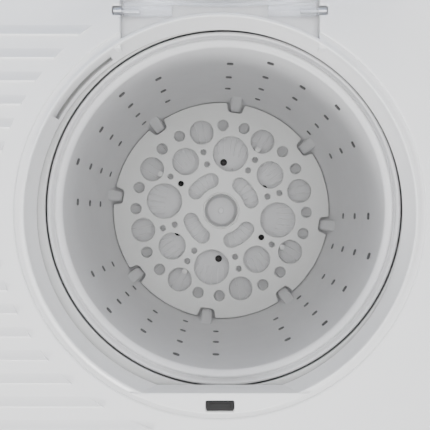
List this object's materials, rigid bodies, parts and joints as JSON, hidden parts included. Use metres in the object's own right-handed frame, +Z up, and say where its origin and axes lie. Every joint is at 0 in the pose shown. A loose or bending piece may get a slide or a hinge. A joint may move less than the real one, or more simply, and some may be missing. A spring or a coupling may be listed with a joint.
{
  "type": "top_load_washing_machine",
  "caption": "Twin-tub top load washing machine with a wash tub, a perforated spin basket under a clear hinged lid, and a rear control console.",
  "frame": {"origin": "floor level, under the middle of the object's outline", "axes": "+Z up, -Y towards the front, +X to the user's right"},
  "size_m": [0.72, 0.43, 1.0604],
  "materials": {
    "deck_white": "satin moulded",
    "cabinet_white": "satin moulded",
    "basket_white": "fine satin",
    "plate_white": "fine satin",
    "tub_grey": "satin",
    "lid_clear": "clear bluish plastic",
    "panel_blue": "fine satin",
    "knob_white": "glossy",
    "black_rubber": "matte",
    "grey_rubber": "matte",
    "steel": "zinc plated",
    "motor_steel": "varnished",
    "black_plastic": "satin",
    "switch_grey": "satin",
    "hose_grey": "satin",
    "black_screw": "blackened steel",
    "alloy": "die cast"
  },
  "bodies": {
    "body": {"base_frame": "switch_grey", "bearing_housing": "alloy", "brake_cable": "black_plastic", "brake_pivot": "steel", "cabinet_shell": "cabinet_white", "console_fascia": "panel_blue", "console_housing": "deck_white", "console_switches": "switch_grey", "cord_gland": "black_plastic", "drain_spigot": "tub_grey", "drain_valve_box": "tub_grey", "drive_belt": "black_rubber", "foot_pads": "black_rubber", "inlet_channel": "tub_grey", "inlet_spigot": "panel_blue", "lid_bumper": "black_rubber", "lid_switch": "black_plastic", "motor_bracket": "steel", "motor_hanger_plate": "steel", "rear_cover": "cabinet_white", "rear_cover_screws": "steel", "run_capacitors": "alloy", "shaft_bellows": "grey_rubber", "shaft_bush_housing": "alloy", "side_handle_cups": "cabinet_white", "spin_drain_hose": "hose_grey", "spin_motor": "motor_steel", "spin_outer_tub": "tub_grey", "spring_cups": "grey_rubber", "suspension_springs": "steel", "top_deck": "deck_white", "wash_drain_hose": "hose_grey", "wash_motor": "motor_steel", "wash_motor_bolts": "steel", "wash_tub": "basket_white", "wiring_harness": "black_plastic"},
    "basket": {"spin_basket": "basket_white", "basket_balance_ring": "basket_white", "basket_hub_flange": "alloy", "basket_screws": "black_screw", "spin_shaft": "steel", "brake_drum": "alloy", "spin_motor_shaft": "steel"},
    "plate": {"press_plate": "plate_white"},
    "pulsator_set": {"pulsator": "panel_blue", "pulsator_screw": "steel", "pulsator_shaft": "steel", "driven_pulley": "alloy"},
    "motor_pulley_set": {"wash_motor_pulley": "alloy", "wash_motor_shaft": "steel"},
    "spin_lid_set": {"spin_lid": "lid_clear", "spin_lid_pins": "steel"},
    "wash_lid_set": {"wash_lid": "lid_clear", "wash_lid_pins": "steel"},
    "wash_timer": {"wash_timer_knob": "knob_white"},
    "spin_timer": {"spin_timer_knob": "knob_white"},
    "selector": {"selector_knob": "knob_white"},
    "drain_plunger": {"drain_valve_plunger": "grey_rubber"},
    "brake": {"brake_arm": "steel"},
    "filter": {"lint_filter": "panel_blue"}
  },
  "joints": [
    {"name": "basket_spin", "type": "hinge", "parent": "body", "child": "basket", "pos_m": [0.19, -0.025, 0.5], "axis": [0, 0, 1], "continuous": true},
    {"name": "press_plate_lift", "type": "slide", "parent": "basket", "child": "plate", "axis": [0, 0, 1], "range_m": [0, 0.26]},
    {"name": "pulsator_spin", "type": "hinge", "parent": "body", "child": "pulsator_set", "pos_m": [-0.165, -0.039, 0.4], "axis": [0, 0, 1], "continuous": true},
    {"name": "motor_pulley_spin", "type": "hinge", "parent": "body", "child": "motor_pulley_set", "pos_m": [-0.045, -0.039, 0.295], "axis": [0, 0, 1], "continuous": true},
    {"name": "spin_lid_hinge", "type": "hinge", "parent": "body", "child": "spin_lid_set", "pos_m": [0.187, 0.11, 0.786], "axis": [-1, 0, 0], "range_deg": [-98, 0]},
    {"name": "wash_lid_hinge", "type": "hinge", "parent": "body", "child": "wash_lid_set", "pos_m": [-0.165, 0.118, 0.786], "axis": [-1, 0, 0], "range_deg": [0, 75]},
    {"name": "wash_timer_turn", "type": "hinge", "parent": "body", "child": "wash_timer", "pos_m": [-0.255, 0.14238, 0.83298], "axis": [0, -0.9363, 0.3511], "range_deg": [0, 300]},
    {"name": "spin_timer_turn", "type": "hinge", "parent": "body", "child": "spin_timer", "pos_m": [0.3, 0.14238, 0.83298], "axis": [0, -0.9363, 0.3511], "range_deg": [0, 270]},
    {"name": "drain_selector_turn", "type": "hinge", "parent": "body", "child": "selector", "pos_m": [-0.095, 0.14238, 0.83298], "axis": [0, -0.9363, 0.3511], "range_deg": [0, 60]},
    {"name": "drain_plunger_lift", "type": "slide", "parent": "body", "child": "drain_plunger", "axis": [0, 0, 1], "range_m": [0, 0.012]},
    {"name": "brake_arm_swing", "type": "hinge", "parent": "body", "child": "brake", "pos_m": [0.12, 0.033, 0.27], "axis": [0, 0, 1], "range_deg": [-6, 0]},
    {"name": "lint_filter_lift", "type": "slide", "parent": "body", "child": "filter", "axis": [0, 0, 1], "range_m": [0, 0.07]}
  ],
  "couplings": [
    {"joint": "motor_pulley_spin", "follows": "pulsator_spin", "ratio": 6.4},
    {"joint": "drain_selector_turn", "follows": "drain_plunger_lift", "rad_per_m": 87.266},
    {"joint": "brake_arm_swing", "follows": "spin_lid_hinge", "ratio": 0.06}
  ]
}
